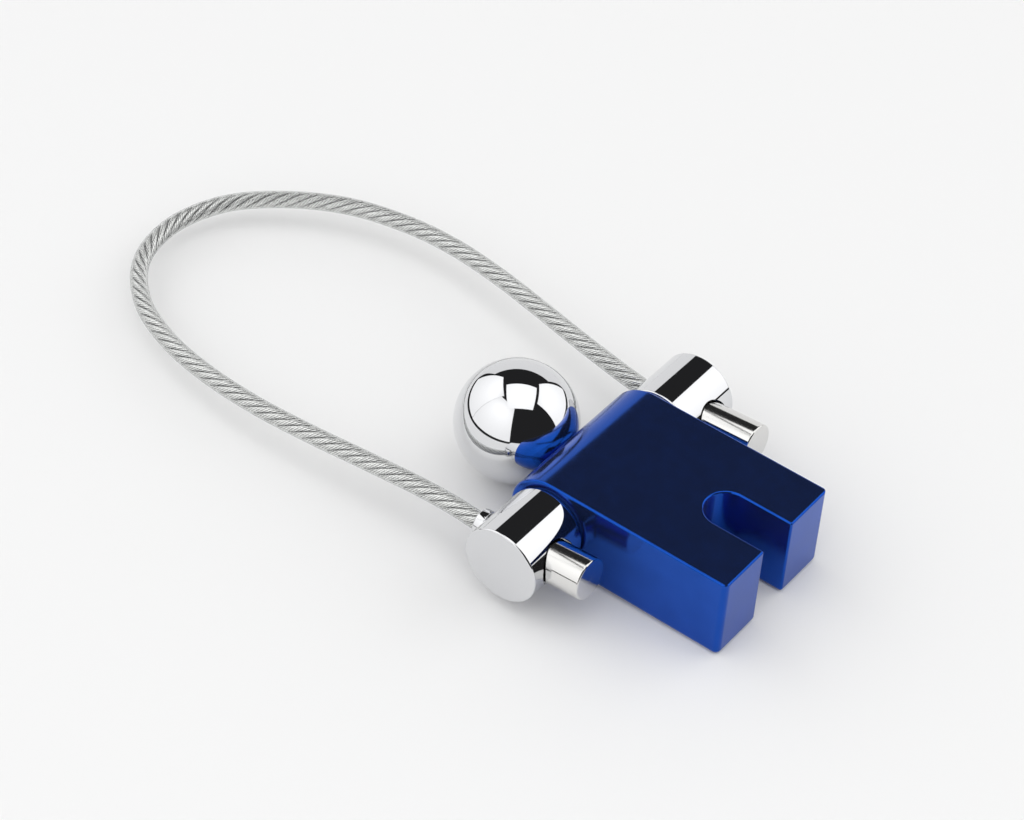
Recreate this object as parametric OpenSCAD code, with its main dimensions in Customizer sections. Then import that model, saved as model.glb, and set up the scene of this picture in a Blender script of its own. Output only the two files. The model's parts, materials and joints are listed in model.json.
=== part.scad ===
// Wire-rope key ring in the shape of a little man lying on his back.
// The torso is a lacquered block with a slot between the legs, the head is a polished ball and the
// arms are two cross-bored bosses on an axle. A coated wire rope runs from one arm to the other.
// The right hand unscrews from the rope's threaded end, which opens the loop for keys.
// +Y points to the head, +Z is up and the part lies on z = 0.

/* [Torso] */
// Width of the torso across the shoulders
torso_w = 21.5; // [20:0.5:24]
// Thickness of the torso from chest to back
torso_t = 12; // [11.5:0.5:13]
// Distance from the shoulder axis to the soles of the feet
leg_reach = 25.6; // [22:0.1:30]
// Width of the slot between the legs
slot_w = 5.8; // [5:0.1:7]
// Depth of the slot, from the soles to the top of its round end
slot_depth = 10.2; // [8:0.1:13]
// Radius of the back edge of the feet
back_edge_r = 0.8; // [0.4:0.1:1.2]
// Radius of the chest edge of the feet
chest_edge_r = 0.3; // [0.2:0.1:0.8]

/* [Head] */
// Diameter of the ball
ball_d = 16; // [15:0.5:17]
// Distance from the shoulder axis to the ball's centre, along the torso
ball_reach = 13.3; // [13:0.1:14]
// Height of the ball's centre above the middle of the torso
ball_rise = 1; // [0.5:0.1:1.5]
// Diameter of the threaded stud between head and torso
stud_d = 3; // [2.5:0.5:3]

/* [Arms] */
// Diameter of a shoulder boss
shoulder_d = 10.5; // [9.5:0.1:11]
// Length of a shoulder boss
shoulder_len = 9.4; // [9:0.1:11]
// Angle by which the rope side of the arms leans down from the torso's own line
arm_pitch = 4; // [0:0.5:6]
// Diameter of the axle
axle_d = 3; // [2.5:0.5:3]
// How far the axle goes into each boss
axle_grip = 3; // [2:0.1:3]
// Diameter of the rope hole through a boss
rope_hole_d = 3.3; // [3.2:0.1:3.6]
// Diameter of the socket for a hand
socket_d = 5.6; // [5.2:0.1:6]
// Distance from the shoulder axis to the floor of the socket
socket_floor = 2; // [1.8:0.1:2.5]
// Diameter of the clearance round a hand, outside the fitted end of its socket
mouth_d = 6; // [5.8:0.1:7]
// Distance from the shoulder axis to the floor of that clearance
mouth_floor = 3.2; // [3:0.1:3.6]

/* [Bushes and washers] */
// Thickness of a bush flange
flange_t = 0.3; // [0.2:0.1:0.5]
// Diameter of a bush flange
flange_d = 9; // [7:0.5:10]
// Length of a bush inside the torso
bush_len = 5; // [3:0.5:7]
// Outer diameter of a bush
bush_d = 4.5; // [4.5:0.1:5]
// Gap left for the wave washer beside the right boss
wave_gap = 0.5; // [0.4:0.1:0.8]

/* [Hands] */
// Diameter of a hand
hand_d = 5.5; // [5.1:0.1:5.9]
// Distance from the shoulder axis to the end of the fixed left hand
left_reach = 10; // [9:0.1:13]
// Distance from the shoulder axis to the end of the right hand, which unscrews
right_reach = 12.1; // [10:0.1:14]
// Thickness of the washer under a hand
washer_t = 0.4; // [0.3:0.1:0.6]
// Chamfer at the ends of the bosses and hands
end_chamfer = 0.25; // [0.1:0.05:0.4]
// Depth of the tapped hole in a hand
tapped_depth = 5; // [4:0.5:6]

/* [Rope] */
// Diameter of the bare wire rope
core_d = 2; // [1.5:0.1:2]
// Diameter over the clear coat
rope_d = 2.4; // [2.1:0.1:2.6]
// Diameter of the threaded terminals
terminal_d = 3; // [2.8:0.1:3]
// Distance from the shoulder axis to the rope end of the right terminal
terminal_top = 3.2; // [2.5:0.1:4]
// Diameter of the left terminal's collar, which rests on the back of the left boss
collar_d = 3.8; // [3.5:0.1:4.2]
// Length of that collar
collar_len = 1.3; // [1:0.1:2.4]
// Distance from the shoulder axis to the threaded end of a terminal
terminal_tip = 6.9; // [6:0.1:7]
// Depth of the crimp hole in a terminal
crimp_depth = 4.7; // [4:0.1:5]

/* [Hidden] */

// Clearances: a turning fit, parts that are bonded or screwed together, side play and the
// axle's way through the middle of the torso
turning_fit = 0.05;
seated_gap = 0.02;
side_play = 0.05;
axle_way = 0.2;

// How far a cutting shape runs past the face that it cuts
past = 1;

// Standard grub screw: tapped hole, screw, hexagon socket and how deep the screw sits
grub_hole_r = 1;
grub_r = 0.97;
grub_hex_r = 0.5;
grub_hex_depth = 1;
grub_recess = 0.4;

// The head's stud starts clear of the axle and ends inside the ball
stud_start = 2.4;
stud_end_gap = 2;
stud_room = 0.5;

// Room between the rope's end and the bottom of its crimp hole
core_room = 0.1;

// Colours
lacquer_blue = "#2347b8";
chrome = "#d8dadd";
steel = "#9fa3a8";
nylon = "#f2f0ea";
clear_coat = "#cfd6d8";

ball_r = ball_d / 2;
half_w = torso_w / 2;
half_t = torso_t / 2;
boss_r = shoulder_d / 2;
left_terminal_top = boss_r + seated_gap + collar_len;
axle_r = axle_d / 2;

// The inner faces of the bosses, the axes of their rope holes and their outer ends
left_inner = half_w + flange_t + side_play;
right_inner = half_w + flange_t + wave_gap + side_play;
left_bore_x = -left_inner - shoulder_len / 2;
right_bore_x = right_inner + shoulder_len / 2;
left_end = left_inner + shoulder_len;
right_end = right_inner + shoulder_len;

// The part rests on the ball and on the back edge of the feet, so the torso leans a little
contact_rise = ball_rise + half_t - back_edge_r;
contact_run = ball_reach + leg_reach - back_edge_r;
contact_reach = sqrt(contact_rise * contact_rise + contact_run * contact_run);
lean = asin((ball_r - back_edge_r) / contact_reach) - atan2(contact_rise, contact_run);

// Height of the shoulder axis over the table, and the middle of the part's outline
axis_height = ball_r - ball_reach * sin(lean) - ball_rise * cos(lean);
head_end = ball_reach * cos(lean) - ball_rise * sin(lean) + ball_r;
feet_end = (leg_reach - chest_edge_r) * cos(lean) + (half_t - chest_edge_r) * sin(lean)
         + chest_edge_r;
middle_x = (right_end - left_end) / 2;
middle_y = (head_end - feet_end) / 2;

// Route of the rope in the plane of the arms, from the left terminal to the right one
route = [
    [left_bore_x, left_terminal_top], [-15.4, 11.5], [-15.3, 17], [-15.6, 25], [-16, 34],
    [-16, 43], [-15.1, 52], [-13.1, 60.5], [-9.2, 68.6], [-2.7, 74.8], [5.5, 76.8], [13.4, 74.4],
    [19.3, 68.4], [23.4, 60.5], [25.1, 51.5], [25, 43], [23.5, 34], [21.4, 25.5], [19.2, 17],
    [17.2, 8.5], [right_bore_x, terminal_top]
];
steps_per_span = 2;
tube_sides = 8;

// Catmull-Rom curve through the route, which leaves both terminals straight
function before(i) = i > 0 ? route[i - 1] : route[0] - [0, 4];
function after(i) = i < len(route) - 1 ? route[i + 1] : route[i] - [0, 4];
function slope(i) = (after(i) - before(i)) / 2;
function on_span(i, t) =
    (2 * t * t * t - 3 * t * t + 1) * route[i] + (t * t * t - 2 * t * t + t) * slope(i)
    + (3 * t * t - 2 * t * t * t) * route[i + 1] + (t * t * t - t * t) * slope(i + 1);
rope_line = [
    for (i = [0 : len(route) - 2], s = [0 : steps_per_span - 1]) on_span(i, s / steps_per_span),
    route[len(route) - 1]
];
function heading(i) =
    i == 0 ? [0, 1]
    : i == len(rope_line) - 1 ? [0, -1]
    : (rope_line[i + 1] - rope_line[i - 1]) / norm(rope_line[i + 1] - rope_line[i - 1]);

// Places the torso's frame, whose origin is on the shoulder axis, at rest on the table
module at_rest() {
    translate([-middle_x, -middle_y, axis_height]) rotate([lean, 0, 0]) children();
}

// The frame of the arms, turned about the shoulder axis
module arm_frame() {
    at_rest() rotate([-arm_pitch, 0, 0]) children();
}

// A cylinder along X between two stations
module along_x(from, to, r) {
    translate([from, 0, 0]) rotate([0, 90, 0]) cylinder(r = r, h = to - from, $fn = 96);
}

// A cylinder along Y between two stations
module along_y(from, to, r) {
    translate([0, from, 0]) rotate([-90, 0, 0]) cylinder(r = r, h = to - from, $fn = 96);
}

// Solid of revolution about X, drawn with the axis upright
module turned_along_x(from, direction) {
    translate([from, 0, 0]) rotate([0, 90 * direction, 0]) rotate_extrude($fn = 96) children();
}

// Side view of the torso: a full round at the head end and rounded edges at the feet
module torso_side() {
    circle(r = half_t, $fn = 96);
    translate([-leg_reach + back_edge_r, -half_t]) square([leg_reach - back_edge_r, torso_t]);
    translate([-leg_reach, -half_t + back_edge_r])
        square([back_edge_r, torso_t - back_edge_r - chest_edge_r]);
    translate([-leg_reach + chest_edge_r, 0]) square([back_edge_r, half_t]);
    translate([-leg_reach + back_edge_r, -half_t + back_edge_r]) circle(r = back_edge_r, $fn = 48);
    translate([-leg_reach + chest_edge_r, half_t - chest_edge_r]) circle(r = chest_edge_r, $fn = 48);
}

module leg_slot() {
    round_y = -leg_reach + slot_depth - slot_w / 2;
    linear_extrude(height = 2 * torso_t, center = true) {
        translate([0, round_y]) circle(d = slot_w, $fn = 96);
        translate([-slot_w / 2, -leg_reach - past]) square([slot_w, leg_reach + past + round_y]);
    }
}

module torso_block() {
    bush_hole_r = bush_d / 2 + seated_gap;
    color(lacquer_blue) at_rest() difference() {
        rotate([90, 0, 90]) linear_extrude(height = torso_w, center = true) torso_side();
        leg_slot();
        along_x(-half_w - past, half_w + past, axle_r + axle_way);
        along_x(-half_w - past, -half_w + bush_len, bush_hole_r);
        along_x(half_w - bush_len, half_w + past, bush_hole_r);
        translate([0, ball_reach, ball_rise]) sphere(r = ball_r + seated_gap, $fn = 128);
        translate([0, 0, ball_rise])
            along_y(stud_start - seated_gap, half_t, stud_d / 2 + seated_gap);
    }
}

module head_ball() {
    color(chrome) at_rest() translate([0, 0, ball_rise]) difference() {
        translate([0, ball_reach, 0]) sphere(r = ball_r, $fn = 128);
        along_y(0, ball_reach - stud_end_gap + stud_room, stud_d / 2 + seated_gap);
    }
}

module head_stud() {
    color(steel) at_rest() translate([0, 0, ball_rise])
        along_y(stud_start, ball_reach - stud_end_gap, stud_d / 2);
}

// A flanged bush whose flange bears on the side of the torso
module bush(side) {
    color(nylon) at_rest() turned_along_x(side * (half_w - bush_len), side) {
        translate([axle_r + turning_fit, 0])
            square([bush_d / 2 - axle_r - turning_fit, bush_len + flange_t]);
        translate([axle_r + turning_fit, bush_len])
            square([flange_d / 2 - axle_r - turning_fit, flange_t]);
    }
}

module left_bush() {
    bush(-1);
}

module right_bush() {
    bush(1);
}

module shoulder_axle() {
    color(steel) arm_frame()
        along_x(-left_inner - axle_grip, right_inner + axle_grip, axle_r);
}

// Three-wave spring washer that keeps the arms where they are put
module wave_washer() {
    segments = 48;
    waves = 3;
    inner_r = axle_r + axle_way;
    rim_step = 0.5;
    outer_r = flange_d / 2 - rim_step;
    thickness = 0.2;
    swing = (wave_gap - thickness) / 2 - seated_gap;
    middle = half_w + flange_t + side_play / 2 + wave_gap / 2;
    corners = [[inner_r, -1], [outer_r, -1], [outer_r, 1], [inner_r, 1]];
    points = [
        for (s = [0 : segments - 1], c = corners)
            let (a = 360 * s / segments, x = swing * cos(waves * a) + c[1] * thickness / 2)
            [middle + x, c[0] * cos(a), c[0] * sin(a)]
    ];
    faces = [
        for (s = [0 : segments - 1], c = [0 : 3])
            let (a = 4 * s + c, b = 4 * s + (c + 1) % 4, n = 4 * segments)
            each [[a, b, (b + 4) % n], [a, (b + 4) % n, (a + 4) % n]]
    ];
    color(steel) arm_frame() polyhedron(points, faces);
}

// A boss with its axle hole, its rope hole, the socket for the hand and the grub screw's hole.
// It is drawn with its inner face at x = 0 and its outer end towards +X.
module boss() {
    edge = end_chamfer;
    difference() {
        turned_along_x(0, 1) polygon([
            [0, 0], [boss_r - edge, 0], [boss_r, edge], [boss_r, shoulder_len - edge],
            [boss_r - edge, shoulder_len], [0, shoulder_len]
        ]);
        along_x(-past, axle_grip + seated_gap, axle_r + seated_gap / 2);
        translate([shoulder_len / 2, 0, 0]) {
            along_y(-boss_r - past, boss_r + past, rope_hole_d / 2);
            along_y(-boss_r - past, -socket_floor, socket_d / 2);
            along_y(-boss_r - past, -mouth_floor, mouth_d / 2);
        }
        translate([axle_grip / 2, 0, -boss_r - past])
            cylinder(r = grub_hole_r, h = boss_r + past, $fn = 48);
    }
}

module left_shoulder() {
    color(chrome) arm_frame() translate([-left_inner, 0, 0]) mirror([1, 0, 0]) boss();
}

module right_shoulder() {
    color(chrome) arm_frame() translate([right_inner, 0, 0]) boss();
}

// Socket-head grub screws that hold the bosses on the axle, one under each boss
module axle_grub_screws() {
    color(steel) arm_frame()
        for (x = [-left_inner - axle_grip / 2, right_inner + axle_grip / 2])
            translate([x, 0, -boss_r + grub_recess]) difference() {
                cylinder(r = grub_r, h = boss_r - grub_recess - axle_r - seated_gap, $fn = 48);
                translate([0, 0, -past])
                    cylinder(r = grub_hex_r, h = past + grub_hex_depth, $fn = 6);
            }
}

// Terminal that is crimped on the rope and threaded at the hand's end
module terminal(x, top) {
    color(steel) arm_frame() translate([x, 0, 0]) difference() {
        union() {
            along_y(-terminal_tip, top, terminal_d / 2);
            children();
        }
        along_y(top - crimp_depth, top + past, core_d / 2 + seated_gap);
    }
}

// The left terminal stays in the boss, clamped between its collar and the hand
module left_terminal() {
    terminal(left_bore_x, left_terminal_top)
        along_y(boss_r + seated_gap, left_terminal_top, collar_d / 2);
}

// The right terminal has no collar, so it slides out of the boss when the hand is unscrewed
module right_terminal() {
    terminal(right_bore_x, terminal_top);
}

// Nylon washer between a hand and the floor of its socket
module hand_washer(x) {
    color(nylon) arm_frame() translate([x, 0, 0]) difference() {
        along_y(-socket_floor - washer_t, -socket_floor, hand_d / 2 - turning_fit);
        along_y(-socket_floor - past, -socket_floor + past, terminal_d / 2 + turning_fit);
    }
}

module left_washer() {
    hand_washer(left_bore_x);
}

module right_washer() {
    hand_washer(right_bore_x);
}

// A hand is a round bar with a tapped hole for the terminal
module hand(x, reach) {
    top = socket_floor + washer_t;
    edge = end_chamfer;
    color(chrome) arm_frame() translate([x, -top, 0]) rotate([90, 0, 0]) rotate_extrude($fn = 96)
        polygon([
            [terminal_d / 2 + turning_fit, 0], [hand_d / 2, 0], [hand_d / 2, reach - top - edge],
            [hand_d / 2 - edge, reach - top], [0, reach - top], [0, tapped_depth],
            [terminal_d / 2 + turning_fit, tapped_depth]
        ]);
}

module left_hand() {
    hand(left_bore_x, left_reach);
}

module right_hand() {
    hand(right_bore_x, right_reach);
}

// A tube swept along the rope's line, which lies flat in the plane of the arms
module rope_tube(outer_r, inner_r) {
    count = len(rope_line);
    n = tube_sides;
    layers = inner_r > 0 ? [outer_r, inner_r] : [outer_r];
    points = [
        for (r = layers, i = [0 : count - 1], k = [0 : n - 1])
            let (across = [heading(i)[1], -heading(i)[0]], a = 360 * k / n)
            let (flat = rope_line[i] + r * cos(a) * across)
            [flat[0], flat[1], r * sin(a)]
    ];
    function skin(start, i, k) = start + i * n + k % n;
    outside = [
        for (i = [0 : count - 2], k = [0 : n - 1])
            [skin(0, i, k), skin(0, i, k + 1), skin(0, i + 1, k + 1), skin(0, i + 1, k)]
    ];
    inside = [
        for (i = [0 : count - 2], k = [0 : n - 1])
            let (m = count * n)
            [skin(m, i, k + 1), skin(m, i, k), skin(m, i + 1, k), skin(m, i + 1, k + 1)]
    ];
    solid_ends = [
        [for (k = [n - 1 : -1 : 0]) k],
        [for (k = [0 : n - 1]) (count - 1) * n + k]
    ];
    ring_ends = [
        for (k = [0 : n - 1])
            let (m = count * n, e = count - 1)
            each [
                [skin(0, 0, k + 1), skin(0, 0, k), skin(m, 0, k), skin(m, 0, k + 1)],
                [skin(0, e, k), skin(0, e, k + 1), skin(m, e, k + 1), skin(m, e, k)]
            ]
    ];
    polyhedron(points, inner_r > 0 ? concat(outside, inside, ring_ends) : concat(outside, solid_ends));
}

// The bare wire rope goes on into both terminals
module rope_core() {
    color(steel) arm_frame() {
        rope_tube(core_d / 2, 0);
        for (end = [[left_bore_x, left_terminal_top], [right_bore_x, terminal_top]])
            translate([end[0], 0, 0])
                along_y(end[1] - crimp_depth + core_room, end[1], core_d / 2);
    }
}

module rope_coat() {
    color(clear_coat) arm_frame() rope_tube(rope_d / 2, core_d / 2 + seated_gap);
}

torso_block();
head_ball();
head_stud();
left_bush();
right_bush();
shoulder_axle();
wave_washer();
left_shoulder();
right_shoulder();
axle_grub_screws();
left_terminal();
right_terminal();
left_washer();
right_washer();
left_hand();
right_hand();
rope_core();
rope_coat();
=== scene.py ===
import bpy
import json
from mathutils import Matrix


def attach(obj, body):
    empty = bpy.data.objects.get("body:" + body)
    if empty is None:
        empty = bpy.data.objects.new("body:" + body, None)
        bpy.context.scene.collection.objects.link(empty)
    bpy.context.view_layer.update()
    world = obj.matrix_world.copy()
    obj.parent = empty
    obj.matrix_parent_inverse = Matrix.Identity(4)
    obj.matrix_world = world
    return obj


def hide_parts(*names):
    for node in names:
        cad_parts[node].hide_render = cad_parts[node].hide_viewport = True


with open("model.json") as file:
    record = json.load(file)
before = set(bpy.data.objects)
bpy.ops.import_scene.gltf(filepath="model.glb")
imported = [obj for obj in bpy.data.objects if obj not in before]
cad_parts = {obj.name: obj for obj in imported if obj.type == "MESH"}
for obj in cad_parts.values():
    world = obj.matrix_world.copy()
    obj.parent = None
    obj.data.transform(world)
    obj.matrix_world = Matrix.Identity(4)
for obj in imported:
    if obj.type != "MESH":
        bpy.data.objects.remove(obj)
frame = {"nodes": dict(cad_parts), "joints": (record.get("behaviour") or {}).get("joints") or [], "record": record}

"""A wire-rope key ring in the shape of a little man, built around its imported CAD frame.

The torso lies on its back with its feet to -Y. Two frames help to place things: TORSO has its origin
on the shoulder axis with Y to the head and Z to the chest, and ARMS is turned about that axis by the
pitch of the arms. Lengths are metres, and sizes written in millimetres are multiplied by MM."""

import json
import math

import bmesh
import bpy
from mathutils import Matrix, Vector
from mathutils.kdtree import KDTree

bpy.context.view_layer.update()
MM = 0.001

joints = {joint["name"]: joint for joint in frame["joints"]}
mounts = {mount["name"]: mount for mount in frame["record"]["mounts"]}


def turned_frame(toward_z, toward_y):
    """A frame on the shoulder axis, turned about X by the angle whose parts are given."""
    origin = Vector(joints["arms_turn"]["pos_m"])
    return Matrix.Translation(origin) @ Matrix.Rotation(math.atan2(toward_z, toward_y), 4, "X")


back = mounts["back_face"]["axis"]
hand_way = joints["hand_travel"]["axis"]
TORSO = turned_frame(back[1], -back[2])
ARMS = turned_frame(-hand_way[2], -hand_way[1])


def span(node, place):
    """Lowest and highest corner of a CAD node, measured in another frame."""
    to_local = place.inverted()
    points = [to_local @ v.co for v in frame["nodes"][node].data.vertices]
    return Vector(map(min, zip(*points))), Vector(map(max, zip(*points)))


# ---- Camera ----

def make_camera():
    """A long lens on the figure's fixed-hand side, looking down at the chest."""
    azimuth, elevation, roll = map(math.radians, (-54.964, 43.03, 4.014))
    distance, across, up = 370.688 * MM, -11.053 * MM, 8.048 * MM
    back_way = Vector((
        math.sin(azimuth) * math.cos(elevation),
        -math.cos(azimuth) * math.cos(elevation),
        math.sin(elevation),
    ))
    level = Vector((math.cos(azimuth), math.sin(azimuth), 0))
    upright = back_way.cross(level)
    side = math.cos(roll) * level + math.sin(roll) * upright
    top = math.cos(roll) * upright - math.sin(roll) * level
    place = Matrix((side, top, back_way)).transposed().to_4x4()
    place.translation = distance * back_way + across * side + up * top
    data = bpy.data.cameras.new("camera")
    data.sensor_width = 36
    data.lens = 105.57
    data.clip_start = 0.01
    camera = bpy.data.objects.new("camera", data)
    bpy.context.scene.collection.objects.link(camera)
    camera.matrix_world = TORSO @ place
    bpy.context.scene.camera = camera


make_camera()


# ---- Mesh helpers ----

def add_object(name, bm, place):
    """Links a new object with the bmesh as its mesh, smooth where its faces turn gently."""
    bmesh.ops.recalc_face_normals(bm, faces=bm.faces)
    mesh = bpy.data.meshes.new(name)
    bm.to_mesh(mesh)
    bm.free()
    obj = bpy.data.objects.new(name, mesh)
    bpy.context.scene.collection.objects.link(obj)
    obj.matrix_world = place
    shade(obj)
    return obj


def shade(obj, angle=30):
    """Smooth shading with sharp edges where faces meet at more than the angle."""
    obj.data.shade_smooth()
    obj.data.set_sharp_from_angle(angle=math.radians(angle))


def bake_modifiers(obj):
    """Replaces the object's mesh by its mesh with the modifiers applied."""
    bpy.context.view_layer.update()
    graph = bpy.context.evaluated_depsgraph_get()
    mesh = bpy.data.meshes.new_from_object(obj.evaluated_get(graph))
    obj.modifiers.clear()
    obj.data = mesh


def cut(obj, *cutters):
    """Subtracts the cutters from the object and removes them."""
    for cutter in cutters:
        step = obj.modifiers.new("cut", "BOOLEAN")
        step.operation = "DIFFERENCE"
        step.solver = "EXACT"
        step.object = cutter
    bake_modifiers(obj)
    for cutter in cutters:
        bpy.data.objects.remove(cutter)
    bm = bmesh.new()
    bm.from_mesh(obj.data)
    bmesh.ops.remove_doubles(bm, verts=bm.verts, dist=2e-7)
    bmesh.ops.dissolve_degenerate(bm, edges=bm.edges, dist=2e-7)
    bm.to_mesh(obj.data)
    bm.free()
    shade(obj)


def prism(name, caps, place):
    """A closed solid between two outlines with the same number of points."""
    bm = bmesh.new()
    one, other = [[bm.verts.new(point) for point in cap] for cap in caps]
    bm.faces.new(one)
    bm.faces.new(other)
    for k in range(len(one)):
        n = (k + 1) % len(one)
        bm.faces.new((one[k], one[n], other[n], other[k]))
    return add_object(name, bm, place)


def outline(*corners, steps=8):
    """An outline through corners (along, radius) or, rounded, (along, radius, rounding)."""
    points = []
    for i, corner in enumerate(corners):
        here = Vector(corner[:2])
        if len(corner) == 2:
            points.append(here)
            continue
        behind = (Vector(corners[i - 1][:2]) - here).normalized()
        ahead = (Vector(corners[i + 1][:2]) - here).normalized()
        half = behind.angle(ahead) / 2
        centre = here + (behind + ahead).normalized() * corner[2] / math.sin(half)
        first = here + behind * corner[2] / math.tan(half) - centre
        last = here + ahead * corner[2] / math.tan(half) - centre
        turn = first.angle(last)
        for step in range(steps + 1):
            share = step / steps
            spoke = first * math.sin((1 - share) * turn) + last * math.sin(share * turn)
            points.append(centre + spoke / math.sin(turn))
    return points


def lathe(name, points, place, sides=128, ring=False):
    """Turns an outline about the frame's X axis. A ring's outline closes on itself."""
    bm = bmesh.new()
    rings = []
    for along, radius in points:
        if radius < 1e-9:
            rings.append([bm.verts.new((along, 0, 0))])
            continue
        angles = [2 * math.pi * k / sides for k in range(sides)]
        rings.append([
            bm.verts.new((along, radius * math.cos(a), radius * math.sin(a))) for a in angles
        ])
    following = rings[1:] + rings[:1] if ring else rings[1:]
    for one, other in zip(rings, following):
        for k in range(sides):
            corners = [
                one[k % len(one)], other[k % len(other)],
                other[(k + 1) % len(other)], one[(k + 1) % len(one)],
            ]
            bm.faces.new(list(dict.fromkeys(corners)))
    return add_object(name, bm, place)


def along_x(x):
    """A frame moved along X."""
    return Matrix.Translation((x, 0, 0))


def toward_hand(x):
    """A frame on a rope hole's axis, with X out of the hand."""
    return along_x(x) @ Matrix.Rotation(-math.pi / 2, 4, "Z")


def set_normals(obj, surfaces):
    """Gives each face corner the exact normal of the surface it lies on.

    A surface is a function from a point to its normal, or None where the point is off it."""
    mesh = obj.data
    normals = []
    for face in mesh.polygons:
        for index in face.vertices:
            point = mesh.vertices[index].co
            found = [n for n in (surface(point) for surface in surfaces) if n]
            found = [n.normalized() for n in found]
            best = max(found, key=face.normal.dot, default=face.normal)
            normals.append(best if best.dot(face.normal) > 0.9 else face.normal.copy())
    mesh.normals_split_custom_set(normals)


# ---- Materials ----

# The name under which the rope's strands store how far a wire stands out, the mask of the wires' painted shade
GAP_SHADE_MASK = "lift"


def material(name, colour, metallic, roughness, **sockets):
    """A Principled material. Other sockets are named with _ for each space."""
    mat = bpy.data.materials.new(name)
    mat.use_nodes = True
    shader = mat.node_tree.nodes["Principled BSDF"]
    shader.inputs["Base Color"].default_value = (*colour, 1)
    shader.inputs["Metallic"].default_value = metallic
    shader.inputs["Roughness"].default_value = roughness
    for socket, value in sockets.items():
        shader.inputs[socket.replace("_", " ")].default_value = value
    return mat


def node(mat, kind, **values):
    """Adds a node; values set its properties or, by name, its inputs."""
    made = mat.node_tree.nodes.new(kind)
    for key, value in values.items():
        if hasattr(made, key):
            setattr(made, key, value)
        else:
            made.inputs[key.replace("_", " ")].default_value = value
    return made


def link(mat, output, socket):
    """Joins one node's output to another's input."""
    mat.node_tree.links.new(output, socket)


def noise(mat, scale, detail=4, stretch=(1, 1, 1)):
    """Noise over the object's own coordinates, in waves per metre."""
    coordinates = node(mat, "ShaderNodeTexCoord")
    mapping = node(mat, "ShaderNodeMapping", Scale=stretch)
    texture = node(mat, "ShaderNodeTexNoise", Scale=scale, Detail=detail)
    link(mat, coordinates.outputs["Object"], mapping.inputs["Vector"])
    link(mat, mapping.outputs["Vector"], texture.inputs["Vector"])
    return texture.outputs["Fac"]


def ramp(mat, source, low, high, start=0.35, end=0.65):
    """Maps a source from start..end to a number between low and high."""
    made = node(mat, "ShaderNodeMapRange")
    link(mat, source, made.inputs["Value"])
    for socket, value in zip(("From Min", "From Max", "To Min", "To Max"), (start, end, low, high)):
        made.inputs[socket].default_value = value
    return made.outputs["Result"]


def colour_sockets(sockets):
    """The colour sockets among a mix node's sockets of every type."""
    return [socket for socket in sockets if socket.type == "RGBA"]


def mix_colours(mat, share, one, other):
    """Mixes two colours by a share from 0 to 1."""
    made = node(mat, "ShaderNodeMix", data_type="RGBA")
    link(mat, share, made.inputs["Factor"])
    for socket, colour in zip(colour_sockets(made.inputs), (one, other)):
        socket.default_value = (*colour, 1)
    return colour_sockets(made.outputs)[0]


def set_bump(mat, height, depth):
    """Bumps the shader's normal by a height of so many metres."""
    made = node(mat, "ShaderNodeBump", Distance=depth, Strength=1.0)
    link(mat, height, made.inputs["Height"])
    link(mat, made.outputs["Normal"], mat.node_tree.nodes["Principled BSDF"].inputs["Normal"])


def lacquer():
    """Blue lacquer over polished metal, with a faint orange peel and fine wear."""
    mat = material("blue_lacquer", (0.003, 0.068, 0.41), 0.93, 0.16,
                   Coat_Weight=0.38, Coat_Roughness=0.95)
    shader = mat.node_tree.nodes["Principled BSDF"]
    clouds = ramp(mat, noise(mat, 300), 0, 1)
    blue = mix_colours(mat, clouds, (0.002, 0.064, 0.39), (0.004, 0.071, 0.43))
    link(mat, blue, shader.inputs["Base Color"])
    link(mat, ramp(mat, noise(mat, 600, 3), 0.13, 0.18), shader.inputs["Roughness"])
    set_bump(mat, noise(mat, 700, 1), 0.15e-6)
    return mat


def chrome():
    """Mirror chrome with faint polishing marks."""
    mat = material("polished_chrome", (0.725, 0.73, 0.745), 1, 0.03)
    shader = mat.node_tree.nodes["Principled BSDF"]
    link(mat, ramp(mat, noise(mat, 1800, 6), 0.012, 0.045), shader.inputs["Roughness"])
    set_bump(mat, noise(mat, 700, 2), 0.15e-6)
    return mat


def satin_chrome():
    """Chrome over a turned bar, whose fine rings smear reflections along its length."""
    mat = material("satin_chrome", (0.74, 0.735, 0.72), 1, 0.2,
                   Anisotropic=0.9, Anisotropic_Rotation=0.25)
    shader = mat.node_tree.nodes["Principled BSDF"]
    around = node(mat, "ShaderNodeTangent", direction_type="RADIAL", axis="X")
    link(mat, around.outputs["Tangent"], shader.inputs["Tangent"])
    link(mat, ramp(mat, noise(mat, 2500, 4, (6, 1, 1)), 0.09, 0.13), shader.inputs["Roughness"])
    set_bump(mat, noise(mat, 900, 2), 0.15e-6)
    return mat


def turned_steel():
    """Plain turned steel with fine rings."""
    mat = material("turned_steel", (0.50, 0.51, 0.53), 1, 0.3)
    shader = mat.node_tree.nodes["Principled BSDF"]
    link(mat, ramp(mat, noise(mat, 3000, 5), 0.22, 0.38), shader.inputs["Roughness"])
    set_bump(mat, noise(mat, 4000, 3, (0.2, 4, 1)), 2e-6)
    return mat


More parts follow.
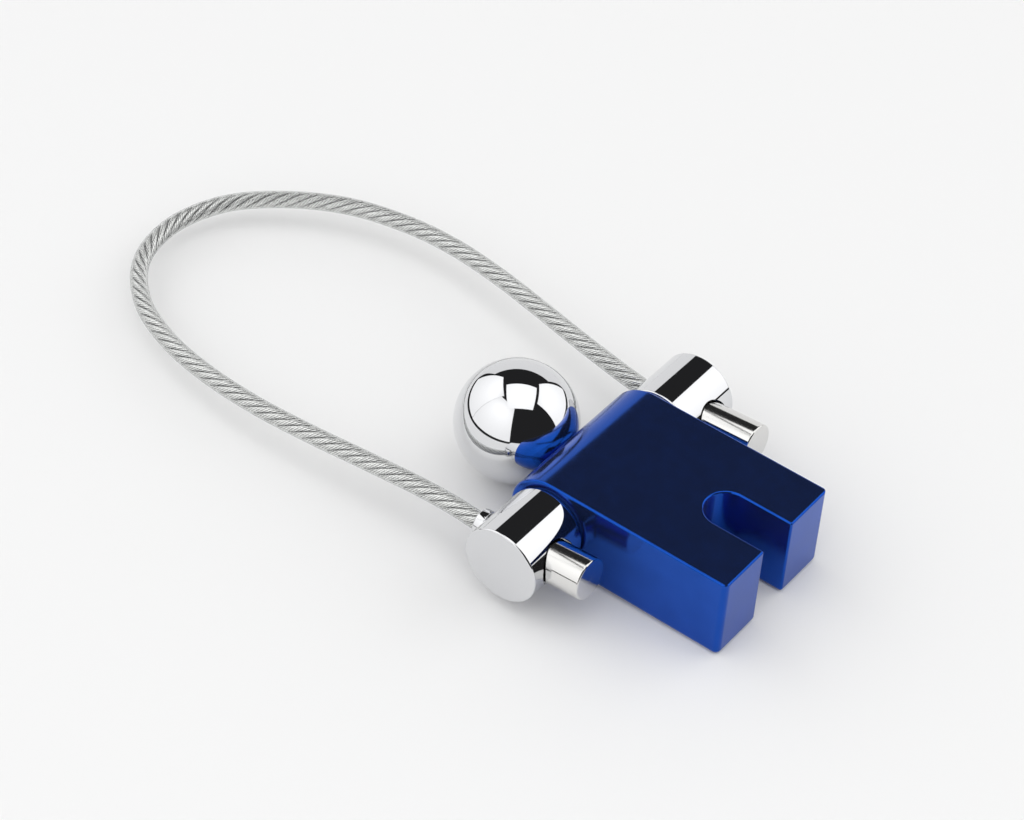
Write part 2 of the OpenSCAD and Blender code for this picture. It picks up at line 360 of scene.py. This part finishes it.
def drawn_wire():
    """Bright drawn wire, a little duller in patches, with painted shade darkening it deep between the strands."""
    mat = material("drawn_wire", (0.86, 0.86, 0.85), 1, 0.25)
    shader = mat.node_tree.nodes["Principled BSDF"]
    patches = ramp(mat, noise(mat, 1500), 0, 1)
    grey = mix_colours(mat, patches, (0.80, 0.80, 0.79), (0.93, 0.93, 0.92))
    # Painted shade: the wire's colour darkens to 0.42 where it lies deep between wires and strands
    lift = node(mat, "ShaderNodeAttribute", attribute_name=GAP_SHADE_MASK)
    painted_gap_shade = mix_colours(mat, lift.outputs["Fac"], (0.42, 0.42, 0.43), (1, 1, 1))
    tint = node(mat, "ShaderNodeMix", data_type="RGBA", blend_type="MULTIPLY", Factor=1)
    for socket, colour in zip(colour_sockets(tint.inputs), (grey, painted_gap_shade)):
        link(mat, colour, socket)
    link(mat, colour_sockets(tint.outputs)[0], shader.inputs["Base Color"])
    link(mat, ramp(mat, noise(mat, 5000), 0.22, 0.36), shader.inputs["Roughness"])
    set_bump(mat, noise(mat, 6000, 2), 1e-6)
    return mat


def clear_sleeve():
    """Clear soft plastic, slightly milky, that mirrors at a glance and darkens at its rim."""
    mat = material("clear_sleeve", (0.80, 0.81, 0.80), 0, 0.12)
    tree = mat.node_tree
    shader = tree.nodes["Principled BSDF"]
    link(mat, ramp(mat, noise(mat, 1200), 0.06, 0.18), shader.inputs["Roughness"])
    clear = node(mat, "ShaderNodeBsdfTransparent")
    edge = node(mat, "ShaderNodeLayerWeight", Blend=0.5)
    rim = ramp(mat, edge.outputs["Facing"], 0, 1, 0.4, 0.9)
    link(mat, mix_colours(mat, rim, (0.985, 0.99, 0.985), (0.66, 0.67, 0.67)), clear.inputs["Color"])
    facing = node(mat, "ShaderNodeFresnel", IOR=1.4)
    share = node(mat, "ShaderNodeMath", operation="ADD", use_clamp=True)
    link(mat, facing.outputs["Fac"], share.inputs[0])
    link(mat, ramp(mat, noise(mat, 600), 0.01, 0.06), share.inputs[1])
    side = node(mat, "ShaderNodeNewGeometry")
    outer_only = node(mat, "ShaderNodeMix", data_type="FLOAT")
    link(mat, side.outputs["Backfacing"], outer_only.inputs[0])
    link(mat, share.outputs["Value"], outer_only.inputs[2])
    outer_only.inputs[3].default_value = 0
    mix = node(mat, "ShaderNodeMixShader")
    link(mat, outer_only.outputs[0], mix.inputs["Fac"])
    link(mat, clear.outputs["BSDF"], mix.inputs[1])
    link(mat, shader.outputs["BSDF"], mix.inputs[2])
    link(mat, mix.outputs["Shader"], tree.nodes["Material Output"].inputs["Surface"])
    return mat


def natural_nylon():
    """Off-white nylon with a fine moulded grain."""
    mat = material("natural_nylon", (0.84, 0.83, 0.78), 0, 0.45)
    shader = mat.node_tree.nodes["Principled BSDF"]
    patches = ramp(mat, noise(mat, 1200), 0, 1)
    cream = mix_colours(mat, patches, (0.80, 0.79, 0.74), (0.88, 0.87, 0.83))
    link(mat, cream, shader.inputs["Base Color"])
    link(mat, ramp(mat, noise(mat, 3000), 0.35, 0.55), shader.inputs["Roughness"])
    set_bump(mat, noise(mat, 8000, 2), 3e-6)
    return mat


FINISHES = {
    "lacquered_metal": lacquer(),
    "chrome": chrome(),
    "satin_chrome": satin_chrome(),
    "steel": turned_steel(),
    "wire_rope": drawn_wire(),
    "clear_coat": clear_sleeve(),
    "nylon": natural_nylon(),
}


def finish_piece(obj, body, slot, *replaced, finish=None):
    """Gives a piece its finish, its body and the CAD nodes that it stands for."""
    obj.data.materials.clear()
    obj.data.materials.append(FINISHES[finish or slot])
    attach(obj, body)
    if replaced:
        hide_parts(*replaced)


# ---- Rope ----

# The rope's centre line in ARMS, in millimetres, from the left terminal to the right one
ROUTE = [
    (-15.8, 6.57), (-15.4, 11.5), (-15.3, 17), (-15.6, 25), (-16, 34), (-16, 43), (-15.1, 52),
    (-13.1, 60.5), (-9.2, 68.6), (-2.7, 74.8), (5.5, 76.8), (13.4, 74.4), (19.3, 68.4),
    (23.4, 60.5), (25.1, 51.5), (25, 43), (23.5, 34), (21.4, 25.5), (19.2, 17), (17.2, 8.5),
    (16.3, 3.2),
]
ROPE_DIAMETER = 2.4 * MM
# The strands are drawn wider than the CAD core, as the clear coat magnifies them
CORE_DIAMETER = 2.32 * MM
STRANDS = 6
WIRES = 6
WIRE_SIDES = 6
STRAND_DIAMETER = CORE_DIAMETER / 3
WIRE_DIAMETER = STRAND_DIAMETER / 3
ROPE_LAY = 12 * MM
STRAND_LAY = 4.8 * MM
RUN_IN = 4 * MM
UPRIGHT = Vector((0, 0, 1))


def rope_line(spacing):
    """Evenly spaced (point, heading) pairs on the Catmull-Rom curve through the route."""
    route = [Vector((x, y, 0)) * MM for x, y in ROUTE]
    lead = Vector((0, RUN_IN, 0))
    padded = [route[0] - lead, *route, route[-1] - lead]
    dense = []
    steps = 40
    for before, start, end, after in zip(padded, padded[1:], padded[2:], padded[3:]):
        leaving, arriving = (end - before) / 2, (after - start) / 2
        for step in range(steps):
            t = step / steps
            dense.append(
                (2 * t**3 - 3 * t**2 + 1) * start + (t**3 - 2 * t**2 + t) * leaving
                + (3 * t**2 - 2 * t**3) * end + (t**3 - t**2) * arriving
            )
    dense.append(route[-1])
    run = [0.0]
    for one, other in zip(dense, dense[1:]):
        run.append(run[-1] + (other - one).length)
    count = round(run[-1] / spacing)
    line, i = [], 0
    for k in range(count + 1):
        at = run[-1] * k / count
        while i < len(dense) - 2 and run[i + 1] < at:
            i += 1
        step = dense[i + 1] - dense[i]
        line.append((dense[i] + step * (at - run[i]) / step.length, step.normalized()))
    return line, run[-1]


def sweep(bm, rings):
    """Joins rings of points into a tube with closed ends."""
    made = [[bm.verts.new(p) for p in ring] for ring in rings]
    for one, other in zip(made, made[1:]):
        for k in range(len(one)):
            n = (k + 1) % len(one)
            bm.faces.new((one[k], one[n], other[n], other[k]))
    bm.faces.new(made[0])
    bm.faces.new(made[-1])


def ring_around(point, heading, radius, sides):
    """A ring of points square to the heading, in a plane curve's own frame."""
    across = heading.cross(UPRIGHT)
    return [
        point + radius * (math.cos(a) * across + math.sin(a) * UPRIGHT)
        for a in (2 * math.pi * k / sides for k in range(sides))
    ]


def share_between(value, low, high):
    """How far a value is from low to high, from 0 to 1."""
    return min(max((value - low) / (high - low), 0), 1)


def distance_from(line):
    """A function that gives a point's distance from a line of (point, heading) pairs."""
    tree = KDTree(len(line))
    for k, (point, heading) in enumerate(line):
        tree.insert(point, k)
    tree.balance()

    def distance(place):
        point, k, gap = tree.find(place)
        along = (place - point).dot(line[k][1])
        return math.sqrt(max(gap**2 - along**2, 0))
    return distance


def mark_gap_shade(strand, rope_axis, strand_axis):
    """Stores 1 where a wire stands out and 0 deep between wires or strands, the mask of the wires' painted shade.
    """
    from_rope = distance_from(rope_axis)
    from_strand = distance_from(strand_axis)
    lift = strand.data.attributes.new(GAP_SHADE_MASK, "FLOAT", "POINT")
    for vertex, stored in zip(strand.data.vertices, lift.data):
        out_of_rope = share_between(from_rope(vertex.co) / (CORE_DIAMETER / 2), 0.7, 0.9)
        out_of_strand = share_between(from_strand(vertex.co) / WIRE_DIAMETER, 1.0, 1.4)
        stored.value = out_of_rope * out_of_strand


def square_to(way, heading):
    """The part of a direction that is square to the heading."""
    return (way - way.dot(heading) * heading).normalized()


def headings(points):
    """The direction at each point of a line, from the point before it to the one after."""
    last = len(points) - 1
    return [
        (points[min(k + 1, last)] - points[max(k - 1, 0)]).normalized() for k in range(last + 1)
    ]


def make_strand(number):
    """One strand, wound right-handed round the rope, with its six outer wires wound left-handed."""
    line, length = rope_line(0.4 * MM)
    phase = 2 * math.pi * number / STRANDS
    runs = [length * k / (len(line) - 1) for k in range(len(line))]
    centres = []
    spokes = []
    for (point, heading), run in zip(line, runs):
        turn = phase + 2 * math.pi * run / ROPE_LAY
        spoke = math.cos(turn) * heading.cross(UPRIGHT) + math.sin(turn) * UPRIGHT
        centres.append(point + STRAND_DIAMETER * spoke)
        spokes.append(spoke)
    strand_headings = headings(centres)
    outs = [square_to(spoke, heading) for spoke, heading in zip(spokes, strand_headings)]
    bm = bmesh.new()
    for w in range(WIRES):
        path = []
        for centre, heading, out, run in zip(centres, strand_headings, outs, runs):
            turn = 2 * math.pi * (w / WIRES - run / STRAND_LAY)
            spoke = math.cos(turn) * out + math.sin(turn) * heading.cross(out)
            path.append(centre + WIRE_DIAMETER * spoke)
        rings = []
        for centre, heading, out in zip(path, headings(path), outs):
            one = square_to(out, heading)
            two = heading.cross(one)
            rings.append([
                centre + WIRE_DIAMETER / 2 * (math.cos(a) * one + math.sin(a) * two)
                for a in (2 * math.pi * s / WIRE_SIDES for s in range(WIRE_SIDES))
            ])
        sweep(bm, rings)
    # A plain tube fills the strand up to the middles of its wires
    strand_axis = [(centre, heading) for centre, (_, heading) in zip(centres, line)]
    sweep(bm, [ring_around(centre, heading, WIRE_DIAMETER, 10) for centre, heading in strand_axis])
    strand = add_object(f"rope_strand_{number + 1}", bm, ARMS)
    shade(strand, 80)
    mark_gap_shade(strand, line, strand_axis)
    finish_piece(strand, "arms", "wire_rope")
    return strand


def make_rope():
    """Six strands round a core, inside a clear sleeve."""
    line, length = rope_line(1.0 * MM)
    strands = [make_strand(number) for number in range(STRANDS)]
    bm = bmesh.new()
    sweep(bm, [ring_around(p, h, STRAND_DIAMETER / 2, 12) for p, h in line])
    core = add_object("rope_centre_strand", bm, ARMS)
    shade(core, 50)
    finish_piece(core, "arms", "wire_rope", "rope_core")
    bm = bmesh.new()
    sweep(bm, [ring_around(p, h, ROPE_DIAMETER / 2, 32) for p, h in line])
    sleeve = add_object("rope_sleeve", bm, ARMS)
    finish_piece(sleeve, "arms", "clear_coat", "rope_coat")


make_rope()


# ---- Torso ----

SLOT_WIDTH = 5.8 * MM
SLOT_DEPTH = 10.2 * MM
CHEST_EDGE = 0.3 * MM
BACK_EDGE = 0.8 * MM
SEATED_GAP = 0.02 * MM
STUD_HOLE = 3.04 * MM
BUSH_HOLE = 4.54 * MM
AXLE_HOLE = 3.4 * MM


def rough_torso(low, high):
    """The torso's side view, extruded over its width, with sharp edges."""
    radius = high.z
    steps = 96
    side = [
        (radius * math.sin(math.pi * k / steps), radius * math.cos(math.pi * k / steps))
        for k in range(steps + 1)
    ]
    side += [(low.y, -radius), (low.y, radius)]
    return prism("torso_body", [[(x, y, z) for y, z in side] for x in (low.x, high.x)], TORSO)


def slot_cutter(low, high):
    """The slot between the legs, with its round end to the head."""
    half = SLOT_WIDTH / 2
    centre = low.y + SLOT_DEPTH - half
    steps = 48
    plan = [
        (half * math.cos(math.pi * k / steps), centre + half * math.sin(math.pi * k / steps))
        for k in range(steps + 1)
    ]
    plan += [(-half, 2 * low.y), (half, 2 * low.y)]
    heights = (2 * low.z, 2 * high.z)
    return prism("slot_cutter", [[(x, y, z) for x, y in plan] for z in heights], TORSO)


def round_torso_edges(torso, low, high):
    """Rounds the chest's edges tightly and the back's and the outer corners more."""
    bm = bmesh.new()
    bm.from_mesh(torso.data)
    bmesh.ops.dissolve_limit(bm, angle_limit=1e-4, verts=bm.verts, edges=bm.edges)
    weight = bm.edges.layers.float.new("bevel_weight_edge")
    for edge in bm.edges:
        if len(edge.link_faces) != 2 or edge.calc_face_angle() < math.radians(50):
            continue
        middle = (edge.verts[0].co + edge.verts[1].co) / 2
        upright = abs(edge.verts[0].co.z - edge.verts[1].co.z) > high.z
        if upright:
            outer = abs(middle.x) > SLOT_WIDTH
            edge[weight] = BACK_EDGE if outer else CHEST_EDGE
        else:
            share = (1 + middle.z / high.z) / 2
            edge[weight] = CHEST_EDGE * share + BACK_EDGE * (1 - share)
        edge[weight] /= MM
    bm.to_mesh(torso.data)
    bm.free()
    bevel = torso.modifiers.new("edges", "BEVEL")
    bevel.limit_method = "WEIGHT"
    bevel.offset_type = "OFFSET"
    bevel.width = MM
    bevel.segments = 6
    bevel.use_clamp_overlap = False
    bake_modifiers(torso)


def make_torso():
    """The lacquered block with its slot, rounded edges, ball seat and bores."""
    low, high = span("torso_block", TORSO)
    ball_low, ball_high = span("head_ball", TORSO)
    ball_centre = (ball_low + ball_high) / 2
    ball_radius = (ball_high.z - ball_low.z) / 2 + SEATED_GAP
    bush_low, bush_high = span("left_bush", TORSO)
    torso = rough_torso(low, high)
    cut(torso, slot_cutter(low, high))
    round_torso_edges(torso, low, high)
    seat_points = [
        (-ball_radius * math.cos(math.pi * k / 96), ball_radius * math.sin(math.pi * k / 96))
        for k in range(97)
    ]
    to_head = Matrix.Translation(ball_centre) @ Matrix.Rotation(math.pi / 2, 4, "Z")
    seat = lathe("seat_cutter", seat_points, TORSO @ to_head, 192)
    inner = bush_high.x
    bush, axle = BUSH_HOLE / 2, AXLE_HOLE / 2
    bore = lathe("bore_cutter", [
        (2 * low.x, 0), (2 * low.x, bush), (inner, bush), (inner, axle),
        (-inner, axle), (-inner, bush), (2 * high.x, bush), (2 * high.x, 0),
    ], TORSO, 64)
    stud_low, stud_high = span("head_stud", TORSO)
    stud_end = stud_low.y - ball_centre.y
    stud = lathe("stud_cutter", [
        (stud_end, 0), (stud_end, STUD_HOLE / 2), (0, STUD_HOLE / 2), (0, 0),
    ], TORSO @ to_head, 64)
    cut(torso, seat, bore, stud)
    smooth = torso.modifiers.new("normals", "WEIGHTED_NORMAL")
    smooth.keep_sharp = True
    bake_modifiers(torso)
    finish_piece(torso, "torso", "lacquered_metal", "torso_block")


make_torso()


# ---- Head ----

def make_head():
    """The polished ball with the tapped hole for its stud."""
    low, high = span("head_ball", TORSO)
    centre = (low + high) / 2
    centre.y = high.y - (high.z - low.z) / 2
    radius = (high.z - low.z) / 2
    hole, depth = STUD_HOLE / 2, 1.5 * MM
    mouth = math.asin(hole / radius)
    arc = [
        (-radius * math.cos(a), radius * math.sin(a))
        for a in (mouth + (math.pi - mouth) * k / 120 for k in range(121))
    ]
    points = [(-depth, 0), (-depth, hole), *arc[:-1], (radius, 0)]
    to_head = Matrix.Translation(centre) @ Matrix.Rotation(math.pi / 2, 4, "Z")
    ball = lathe("head_sphere", points, TORSO @ to_head, 192)
    finish_piece(ball, "torso", "chrome", "head_ball")


make_head()


# ---- Arms ----

# The floors of a boss's socket and its mouth are measured from the shoulder axis
BOSS_EDGE = 0.25 * MM
ROPE_HOLE = 3.3 * MM
SOCKET = 5.6 * MM
SOCKET_FLOOR = 2.0 * MM
MOUTH = 6.0 * MM
MOUTH_FLOOR = 3.2 * MM
GRUB_HOLE = 2.0 * MM
TAPPED_HOLE = 3.1 * MM
TAPPED_DEPTH = 5 * MM
CRIMP_DEPTH = 4.7 * MM
THREAD = 3 * MM


def make_boss(side, node_name, name):
    """A chromed boss with its axle hole, rope hole, stepped socket and grub screw hole."""
    low, high = span(node_name, ARMS)
    radius = high.y
    length = high.x - low.x
    inner = side * min(abs(low.x), abs(high.x))
    place = ARMS @ along_x(inner) @ Matrix.Rotation(0 if side > 0 else math.pi, 4, "Z")
    boss = lathe(name, outline(
        (0, 0), (0, radius, BOSS_EDGE), (length, radius, BOSS_EDGE), (length, 0),
    ), place, 192)
    past = MM
    axle_low, axle_high = span("shoulder_axle", ARMS)
    axle = (axle_high.z - axle_low.z) / 2 + SEATED_GAP / 2
    grip = max(axle_high.x - inner if side > 0 else inner - axle_low.x, 0) + SEATED_GAP
    bore = inner + side * length / 2
    axle_hole = lathe("axle_cutter", [(-past, 0), (-past, axle), (grip, axle), (grip, 0)], place, 64)
    rope_hole = lathe("rope_cutter", [
        (-radius - past, 0), (-radius - past, ROPE_HOLE / 2), (SOCKET_FLOOR, ROPE_HOLE / 2),
        (SOCKET_FLOOR, SOCKET / 2), (MOUTH_FLOOR, SOCKET / 2), (MOUTH_FLOOR, MOUTH / 2),
        (radius + past, MOUTH / 2), (radius + past, 0),
    ], ARMS @ toward_hand(bore), 128)
    under = along_x(inner + side * grip / 2) @ Matrix.Rotation(math.pi / 2, 4, "Y")
    grub_hole = lathe("grub_cutter", [
        (0, 0), (0, GRUB_HOLE / 2), (radius + past, GRUB_HOLE / 2), (radius + past, 0),
    ], ARMS @ under, 64)
    cut(boss, axle_hole, rope_hole, grub_hole)

    def rounded_cylinder(point):
        """The normal of the outer surface with its rounded edges."""
        radial = Vector((0, point.y, point.z))
        reach = radial.length
        if reach < MM:
            return None
        core = radial * min(reach, radius - BOSS_EDGE) / reach
        core.x = min(max(point.x, BOSS_EDGE), length - BOSS_EDGE)
        out = point - core
        return out if abs(out.length - BOSS_EDGE) < 1e-6 else None

    def cross_bore(bore_radius):
        """The normal of a bore across the boss, as a function of the point."""
        def normal(point):
            out = Vector((length / 2 - point.x, 0, -point.z))
            return out if abs(out.length - bore_radius) < 2e-6 else None
        return normal

    bores = [cross_bore(diameter / 2) for diameter in (ROPE_HOLE, SOCKET, MOUTH)]
    set_normals(boss, [rounded_cylinder, *bores])
    finish_piece(boss, "arms", "chrome", node_name)


def make_hand(node_name, name, body):
    """A round bar with a rounded end and the tapped hole for its terminal."""
    low, high = span(node_name, ARMS)
    radius = (high.x - low.x) / 2
    length = high.y - low.y
    tapped = TAPPED_HOLE / 2
    place = ARMS @ toward_hand((low.x + high.x) / 2) @ along_x(-high.y)
    hand = lathe(name, outline(
        (TAPPED_DEPTH, 0), (TAPPED_DEPTH, tapped), (0, tapped), (0, radius, 0.1 * MM),
        (length, radius, BOSS_EDGE), (length, 0),
    ), place, 128)
    finish_piece(hand, body, "chrome", node_name, finish="satin_chrome")


def make_left_terminal():
    """The threaded terminal with the collar that rests on the back of the left boss."""
    low, high = span("left_terminal", ARMS)
    boss_low, boss_high = span("left_shoulder", ARMS)
    collar = (high.x - low.x) / 2
    shank, rope = THREAD / 2, CORE_DIAMETER / 2
    start = boss_high.y + SEATED_GAP
    place = ARMS @ toward_hand((low.x + high.x) / 2)
    crimp = high.y - CRIMP_DEPTH
    terminal = lathe("left_ferrule", outline(
        (-crimp, 0), (-crimp, rope), (-high.y, rope), (-high.y, collar, 0.25 * MM),
        (-start, collar, 0.1 * MM), (-start, shank), (-low.y, shank, 0.15 * MM), (-low.y, 0),
    ), place, 96)
    finish_piece(terminal, "arms", "chrome", "left_terminal")


make_left_terminal()
make_boss(-1, "left_shoulder", "left_boss")
make_boss(1, "right_shoulder", "right_boss")
make_hand("left_hand", "left_grip", "arms")
make_hand("right_hand", "right_grip", "screw_hand")


# ---- Small parts kept from the CAD model ----

def finish_small_parts():
    """Gives each carried-over CAD node the finish of its slot."""
    kept = {
        "steel": ["head_stud", "shoulder_axle", "wave_washer", "axle_grub_screws",
                  "right_terminal"],
        "nylon": ["left_bush", "right_bush", "left_washer", "right_washer"],
    }
    for slot, names in kept.items():
        for name in names:
            part = frame["nodes"][name]
            for socket in part.material_slots:
                socket.material = FINISHES[slot]


finish_small_parts()


# ---- Table and studio ----

# Half the table's width, and the way from +Y towards +X in which its paper sweeps up
TABLE = 0.8
SWEEP_WAY = math.radians(58.5)
# How far a standing softbox is from the object
LAMP_REACH = 0.95
# Radiance of the softboxes, the room and the front fill, and the colour behind the table
LAMP = 1.36
FILL = 0.50
FRONT = 1.08
BACKDROP = (0.90, 0.90, 0.903)


def plain_emitter(name, colour, strength):
    """A material that only gives light."""
    mat = bpy.data.materials.new(name)
    mat.use_nodes = True
    mat.node_tree.nodes.clear()
    light = node(mat, "ShaderNodeEmission", Color=(*colour, 1), Strength=strength)
    out = node(mat, "ShaderNodeOutputMaterial")
    link(mat, light.outputs["Emission"], out.inputs["Surface"])
    return mat


def white_paper():
    """White paper that fades far from the object into the backdrop's even light."""
    mat = material("white_paper", (0.85, 0.85, 0.85), 0, 0.6)
    tree = mat.node_tree
    shader = tree.nodes["Principled BSDF"]
    set_bump(mat, noise(mat, 400, 3), 4e-6)
    coordinates = node(mat, "ShaderNodeTexCoord")
    reach = node(mat, "ShaderNodeVectorMath", operation="LENGTH")
    link(mat, coordinates.outputs["Object"], reach.inputs[0])
    far = node(mat, "ShaderNodeEmission", Color=(*BACKDROP, 1))
    mix = node(mat, "ShaderNodeMixShader")
    link(mat, ramp(mat, reach.outputs["Value"], 0, 1, 0.4, 0.75), mix.inputs["Fac"])
    link(mat, shader.outputs["BSDF"], mix.inputs[1])
    link(mat, far.outputs["Emission"], mix.inputs[2])
    link(mat, mix.outputs["Shader"], tree.nodes["Material Output"].inputs["Surface"])
    return mat


def make_table():
    """A white paper table that sweeps up behind the object. The camera doesn't see the sweep."""
    paper = white_paper()
    bm = bmesh.new()
    corners = [(-TABLE, -TABLE), (TABLE, -TABLE), (TABLE, TABLE), (-TABLE, TABLE)]
    bm.faces.new([bm.verts.new((x, y, 0)) for x, y in corners])
    turn = Matrix.Rotation(-SWEEP_WAY, 4, "Z")
    table = add_object("table", bm, turn)
    bend, top, half, steps = 0.25, 0.62, 0.72, 16
    profile = [(TABLE - MM, 0)]
    for k in range(steps + 1):
        a = math.pi / 2 * k / steps
        profile.append((TABLE + bend * math.sin(a), bend * (1 - math.cos(a))))
    profile.append((TABLE + bend, top))
    bm = bmesh.new()
    lines = [[bm.verts.new((x, y, z)) for y, z in profile] for x in (-half, half)]
    for k in range(len(profile) - 1):
        bm.faces.new((lines[0][k], lines[0][k + 1], lines[1][k + 1], lines[1][k]))
    paper_sweep = add_object("paper_sweep", bm, turn)
    paper_sweep.visible_camera = paper_sweep.visible_shadow = False
    for obj in (table, paper_sweep):
        obj.data.materials.append(paper)


def make_dome(name, radius, colour, sees_camera):
    """A dome round everything: what the camera sees behind the table, or the dark of the room."""
    bm = bmesh.new()
    bmesh.ops.create_icosphere(bm, subdivisions=4, radius=radius)
    dome = add_object(name, bm, Matrix.Identity(4))
    dome.data.materials.append(plain_emitter(name, colour, 1))
    dome.visible_camera = sees_camera
    dome.visible_glossy = not sees_camera
    dome.visible_diffuse = dome.visible_transmission = dome.visible_shadow = False


def softbox_light(name, radiance):
    """The light of a softbox's cloth, a little brighter in its middle."""
    mat = plain_emitter(name, (1, 1, 1), radiance)
    coordinates = node(mat, "ShaderNodeTexCoord")
    reach = node(mat, "ShaderNodeVectorMath", operation="LENGTH")
    link(mat, coordinates.outputs["Object"], reach.inputs[0])
    light = mat.node_tree.nodes["Emission"]
    strength = ramp(mat, reach.outputs["Value"], 1.06 * radiance, 0.84 * radiance, 0.2, 1.1)
    link(mat, strength, light.inputs["Strength"])
    return mat


def softbox(name, corners, place, radiance):
    """A softbox with its cloth in the place's XY plane, hidden from the camera itself."""
    bm = bmesh.new()
    bm.faces.new([bm.verts.new((x, y, 0)) for x, y in corners])
    lamp = add_object(name, bm, place)
    lamp.data.materials.append(softbox_light(name, radiance))
    lamp.visible_camera = False
    return lamp


def standing(azimuth, middle):
    """An upright plane; azimuth turns from +Y towards +X, and middle is the height of its origin."""
    turn = Matrix.Rotation(-math.radians(azimuth), 4, "Z")
    away = Matrix.Translation((0, LAMP_REACH, middle))
    return turn @ away @ Matrix.Rotation(math.pi / 2, 4, "X")


def make_studio():
    """Four softboxes in a dark room, as polished metal mirrors them, and a fill it doesn't show."""
    world = bpy.data.worlds.new("room_light")
    bpy.context.scene.world = world
    world.use_nodes = True
    world.node_tree.nodes["Background"].inputs["Color"].default_value = (FILL, FILL, FILL, 1)
    world.cycles_visibility.glossy = False
    make_dome("backdrop", 4, BACKDROP, True)
    make_dome("dark_room", 3, (0.02, 0.02, 0.021), False)
    softbox("left_front", [(-0.77, -1.13), (0.765, -1.13), (0.765, 1.2), (-0.77, 1.2)],
            standing(-75.6, 1.2), LAMP)
    softbox("left_back", [(-0.492, -1.13), (0.47, -1.13), (0.66, -0.08), (-0.492, 1.35)],
            standing(-9, 1.2), LAMP)
    softbox("right", [(-0.58, -0.73), (0.556, -0.73), (0.556, 0.8), (-0.58, 0.38)],
            standing(128.5, 0.8), LAMP)
    overhead = Matrix.Translation((0.045, -0.105, 1.1)) @ Matrix.Rotation(-math.radians(53.5), 4, "Z")
    softbox("overhead", [(-0.49, -0.49), (0.49, -0.49), (0.49, 0.49), (-0.49, 0.49)],
            overhead, LAMP)
    front = softbox("front_fill", [(-0.9, -0.8), (0.9, -0.8), (0.9, 0.8), (-0.9, 0.8)],
                    standing(-150, 0.9), FRONT)
    front.visible_glossy = False


make_table()
make_studio()
bpy.context.scene.view_settings.view_transform = "Standard"
